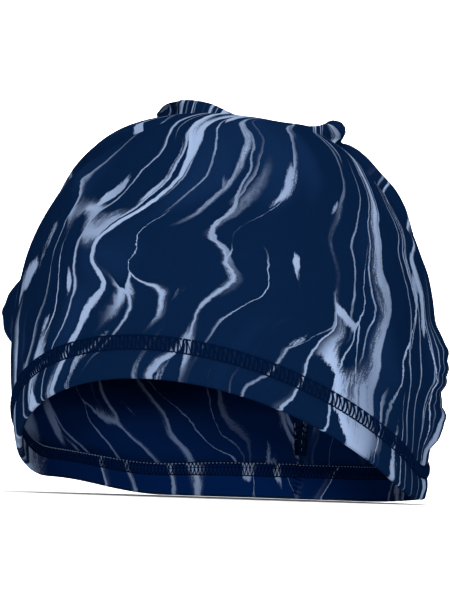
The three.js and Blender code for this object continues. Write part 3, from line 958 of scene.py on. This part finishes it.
def fine_lines(tree, across, up, flow, rough):
    """Thin long lines side by side: the levels of a smooth noise, in some zones of the cloth."""
    levels = maths(tree, "FRACT", times(tree, grain(tree, across, up, LONG_LINES), LINES_PER_FIELD))
    off_line = maths(tree, "ABSOLUTE", maths(tree, "SUBTRACT", levels, 0.5))
    lines = maths(tree, "SUBTRACT", 1.0, ramp(tree, off_line, 0.015, 0.075))
    lines = times(tree, lines, ramp(tree, broad(tree, flow, LINES_ZONE), 0.52, 0.62))
    return times(tree, lines, times_plus(tree, rough, 0.6, 0.4))


def marbled_print_group():
    """Flowing veins that fork and join, crisp along one edge and feathered along the other, with
    thin long lines and short spindles between them."""
    tree, given, result = new_group(
        "marbled_print",
        [
            ("Place", "NodeSocketVector", None),
            ("Ground", "NodeSocketColor", GROUND_NAVY),
            ("Light ground", "NodeSocketColor", GROUND_LIGHT),
            ("Streak", "NodeSocketColor", STREAK_BLUE),
            ("Strength", "NodeSocketFloat", 1.0),
        ],
        [("Color", "NodeSocketColor")],
    )
    place = vector_maths(tree, "ADD", given.outputs["Place"], PRINT_SHIFT)
    flow = place
    for shift, scale, detail, reach in PRINT_BENDS:
        bend = centred(tree, noise(tree, vector_maths(tree, "ADD", place, shift), scale, detail))
        flow = vector_maths(tree, "ADD", flow, vector_maths(tree, "MULTIPLY", bend, reach))
    parts = put(tree, "ShaderNodeSeparateXYZ", {0: flow})
    up = parts.outputs["Y"]
    across = times_plus(tree, up, PRINT_SLANT, parts.outputs["X"])
    fibres = times(tree, grain(tree, across, up, FIBRES), 0.6)
    rough = times_plus(tree, grain(tree, across, up, SPECKS), 0.4, fibres)
    rough = ramp(tree, rough, 0.36, 0.64)

    spindles = times_plus(tree, rough, -0.035, grain(tree, across, up, SPINDLES))
    spindles = ramp(tree, spindles, 0.64, 0.685)
    branches = veins(tree, across, up, rough, BRANCH_VEINS)
    streaks = larger(tree, veins(tree, across, up, rough, MAIN_VEINS), times(tree, branches, BRANCH_SHARE))
    streaks = larger(tree, streaks, times(tree, spindles, SPINDLE_SHARE))
    streaks = larger(tree, streaks, times(tree, fine_lines(tree, across, up, flow, rough), LINE_SHARE))
    tone = times_plus(tree, broad(tree, flow, TONE, 1.0), 0.9, 0.48)
    streaks = times(tree, streaks, tone, clamp=True)
    streaks = times(tree, streaks, given.outputs["Strength"], clamp=True)
    # Painted shade: the streaks fade out round a spot on the big lobe at the wearer's right, outside and in,
    # to keep it dark as if in shade
    off_lobe_shade = put(
        tree, "ShaderNodeVectorMath", {0: given.outputs["Place"], 1: LOBE_SHADE_PLACE}, operation="DISTANCE"
    ).outputs["Value"]
    streaks = times(tree, streaks, ramp(tree, off_lobe_shade, LOBE_SHADE_INNER, LOBE_SHADE_OUTER))

    wash = times(tree, ramp(tree, broad(tree, flow, WASH, 1.0), 0.52, 0.72), WASH_SHARE)
    ground = mix(tree, wash, given.outputs["Ground"], given.outputs["Light ground"])
    colour = mix(tree, streaks, ground, given.outputs["Streak"])
    tree.links.new(colour, result.inputs["Color"])
    return tree


def ridges(tree, value):
    """Rounded ridges from 0 to 1, one for each whole step of a value."""
    return maths(tree, "ABSOLUTE", maths(tree, "SINE", times(tree, value, math.pi)))


def jersey_group():
    """Height of a fine single jersey: wales side by side, courses of small loops, and soft fuzz."""
    tree, given, result = new_group(
        "fine_jersey",
        [
            ("Place", "NodeSocketVector", None),
            ("Wales per cm", "NodeSocketFloat", 17.0),
            ("Courses per cm", "NodeSocketFloat", 22.0),
            ("Fuzz", "NodeSocketFloat", 0.4),
        ],
        [("Height", "NodeSocketFloat")],
    )
    parts = put(tree, "ShaderNodeSeparateXYZ", {0: given.outputs["Place"]})
    wave = ridges(tree, times(tree, parts.outputs["X"], given.outputs["Wales per cm"]))
    course = times(tree, parts.outputs["Y"], given.outputs["Courses per cm"])
    loop = ridges(tree, times_plus(tree, wave, 0.5, course))
    fuzz = noise(tree, given.outputs["Place"], 30.0, 3.0, 0.6).outputs[0]
    knit = times_plus(tree, loop, 0.35, times(tree, wave, 0.65))
    height = times_plus(tree, fuzz, given.outputs["Fuzz"], knit)
    tree.links.new(height, result.inputs["Height"])
    return tree


def new_material(name, roughness):
    """A matt material without shine. It gives back its node tree and its shader too."""
    material = bpy.data.materials.new(name)
    material.use_nodes = True
    shader = material.node_tree.nodes["Principled BSDF"]
    shader.inputs["Roughness"].default_value = roughness
    shader.inputs["Specular IOR Level"].default_value = 0.0
    return material, material.node_tree, shader


CENTIMETRES = (100.0, 100.0, 100.0)


def print_place(tree):
    """The place on the flat cloth, in centimetres."""
    place = put(tree, "ShaderNodeUVMap", uv_map="cloth").outputs[0]
    return put(tree, "ShaderNodeMapping", {"Vector": place, "Scale": CENTIMETRES}).outputs[0]


def knit_material(name, groups, ground, light_ground, streak, strength, roughness):
    """Printed jersey, with some slack in the cloth under its fine loops."""
    material, tree, shader = new_material(name, roughness)
    place = print_place(tree)
    printed = put(tree, "ShaderNodeGroup", {
        "Place": place, "Ground": ground, "Light ground": light_ground, "Streak": streak,
        "Strength": strength,
    }, node_tree=groups["print"])
    tree.links.new(printed.outputs["Color"], shader.inputs["Base Color"])
    jersey = put(tree, "ShaderNodeGroup", {"Place": place}, node_tree=groups["jersey"])
    slack = noise(tree, place, 0.45, 2.0, 0.5).outputs[0]
    slack_bump = put(tree, "ShaderNodeBump", {"Strength": 0.35, "Distance": 0.0012, "Height": slack})
    bump = put(tree, "ShaderNodeBump", {
        "Strength": 0.5, "Distance": 0.00012, "Height": jersey.outputs[0], "Normal": slack_bump.outputs[0],
    })
    tree.links.new(bump.outputs[0], shader.inputs["Normal"])
    return material


def thread_material(name, colour, crest_highlight_colour):
    """Twisted thread of two plies, with painted shade in the grooves between the plies and painted highlight
    on their crests.
    """
    material, tree, shader = new_material(name, 0.7)
    place = put(tree, "ShaderNodeUVMap", uv_map="cloth").outputs[0]
    parts = put(tree, "ShaderNodeSeparateXYZ", {0: place})
    round_thread = times(tree, parts.outputs["X"], 2.0)
    twist = ridges(tree, times_plus(tree, parts.outputs["Y"], 1.6, round_thread))
    # Painted shade and highlight: the first colour fills the grooves of the twist, the second colour its
    # crests
    tree.links.new(mix(tree, twist, colour, crest_highlight_colour), shader.inputs["Base Color"])
    bump = put(tree, "ShaderNodeBump", {"Strength": 0.5, "Distance": 0.00008, "Height": twist})
    tree.links.new(bump.outputs[0], shader.inputs["Normal"])
    return material


def floor_material():
    """A pale matt floor with hardly a cloud in it."""
    material, tree, shader = new_material("pale_floor", 0.8)
    place = put(tree, "ShaderNodeTexCoord").outputs["Object"]
    cloud = noise(tree, place, 3.0, 2.0).outputs[0]
    tree.links.new(mix(tree, cloud, FLOOR_GREY, FLOOR_PALE), shader.inputs["Base Color"])
    return material


# Floor and light, in metres from the cap as the camera sees it
TO_BACK = np.array([-math.sin(AZIMUTH), math.cos(AZIMUTH), 0.0])
SIDEWAYS = np.array([math.cos(AZIMUTH), math.sin(AZIMUTH), 0.0])
UPWARDS = np.array([0.0, 0.0, 1.0])
SWEEP_NEAR = 4.0  # how far the floor comes towards the camera
SWEEP_FAR = 0.5  # how far behind the cap it starts to curve up
SWEEP_RADIUS = 4.0
SWEEP_HEIGHT = 7.0
SWEEP_HALF_WIDTH = 7.0
SWEEP_STEPS = 48
CAP_MIDDLE = (0.0, 0.0, 0.08)
WHITE = (1.0, 1.0, 1.0)
KEY_WHITE = (1.0, 0.99, 0.97)
WORLD_WHITE = (0.98, 0.99, 1.0, 1.0)
WORLD_STRENGTH = 0.28


def make_floor(material):
    """A floor that curves up into a backdrop behind the cap."""
    turns = np.linspace(0, math.pi / 2, SWEEP_STEPS)
    profile = [(-SWEEP_NEAR, 0.0)]
    profile += [(SWEEP_FAR + SWEEP_RADIUS * math.sin(t), SWEEP_RADIUS * (1 - math.cos(t))) for t in turns]
    profile.append((SWEEP_FAR + SWEEP_RADIUS, SWEEP_HEIGHT))
    points = [
        TO_BACK * along + SIDEWAYS * side * SWEEP_HALF_WIDTH + UPWARDS * height
        for along, height in profile
        for side in (-1, 1)
    ]
    points = (np.array(points) - HEM_MIDDLE) / MILLIMETRE
    faces = [[2 * i, 2 * i + 1, 2 * i + 3, 2 * i + 2] for i in range(len(profile) - 1)]
    return add_object("floor", points, faces, [material])


def add_light(name, place, target, size, power, colour=WHITE):
    """An area light at a place that looks at a target. Both are metres to the right, up and towards
    the camera from the cap."""
    where, looked_at = (
        SIDEWAYS * aside - TO_BACK * ahead + UPWARDS * above
        for aside, above, ahead in (place, target)
    )
    aim = looked_at - where
    lamp = bpy.data.lights.new(name, "AREA")
    lamp.shape = "DISK"
    lamp.size = size
    lamp.energy = power
    lamp.color = colour
    light = bpy.data.objects.new(name, lamp)
    bpy.context.scene.collection.objects.link(light)
    down = -unit(aim)
    right = unit(np.cross(UPWARDS, down))
    light.matrix_world = placed(right, np.cross(down, right), down, where)


def light_studio():
    """A small light near the camera, a low one into the hollow, and broad ones above and behind."""
    world = bpy.data.worlds.new("studio")
    world.use_nodes = True
    sky = world.node_tree.nodes["Background"]
    sky.inputs["Color"].default_value = WORLD_WHITE
    sky.inputs["Strength"].default_value = WORLD_STRENGTH
    bpy.context.scene.world = world
    add_light("front", (0.3, 0.14, 2.2), CAP_MIDDLE, size=0.3, power=29.5)
    add_light("low", (-0.3, 0.06, 1.35), (0.02, 0.03, 0.0), size=0.1, power=6.6)
    add_light("key", (0.6, 1.6, 1.6), CAP_MIDDLE, size=1.2, power=8, colour=KEY_WHITE)
    add_light("overhead", (0.1, 2.3, 0.5), CAP_MIDDLE, size=1.6, power=38)
    add_light("backdrop", (0.0, 2.2, -1.3), (0.0, 0.3, -3.6), size=2.4, power=200)
    bpy.context.scene.view_settings.view_transform = "Standard"


groups = {"print": marbled_print_group(), "jersey": jersey_group()}
printed_knit = knit_material("printed_knit", groups, GROUND_NAVY, GROUND_LIGHT, STREAK_BLUE, 1.0, 0.8)
wrong_side = knit_material("wrong_side", groups, WRONG_GROUND, WRONG_GROUND, WRONG_STREAK, 0.8, 0.9)
# The band's copy of the print carries the painted shade tint and painted light in its ground
printed_band = knit_material("printed_band", groups, BAND_SHADE_TINTED_GROUND, BAND_SHADE_TINTED_GROUND, STREAK_BLUE, 1.0, 0.8)
seam_knit = knit_material("seam_knit", groups, GROUND_NAVY, GROUND_NAVY, WRONG_STREAK, 0.25, 0.9)
navy_thread = thread_material("navy_thread", THREAD_NAVY, THREAD_NAVY_CREST_HIGHLIGHT)
pale_thread = thread_material("pale_thread", THREAD_PALE_GROOVE_SHADE, THREAD_PALE)

cap = make_cap([printed_knit, wrong_side, printed_band])
hem_stitch = make_hem_stitch(navy_thread)
hem_cover = make_hem_cover(navy_thread)
hem_loops = make_cover_dots(pale_thread)
allowance = make_seam_allowance(seam_knit)
overlock = make_overlock(navy_thread)
overlock_loops = make_overlock_loops(pale_thread)

trimmings = [hem_stitch, hem_cover, hem_loops, allowance, overlock, overlock_loops]
for piece in [cap] + trimmings:
    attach(piece, "root")
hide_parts("shell", "hem_turnup")
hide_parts("back_seam")

make_floor(floor_material())
light_studio()
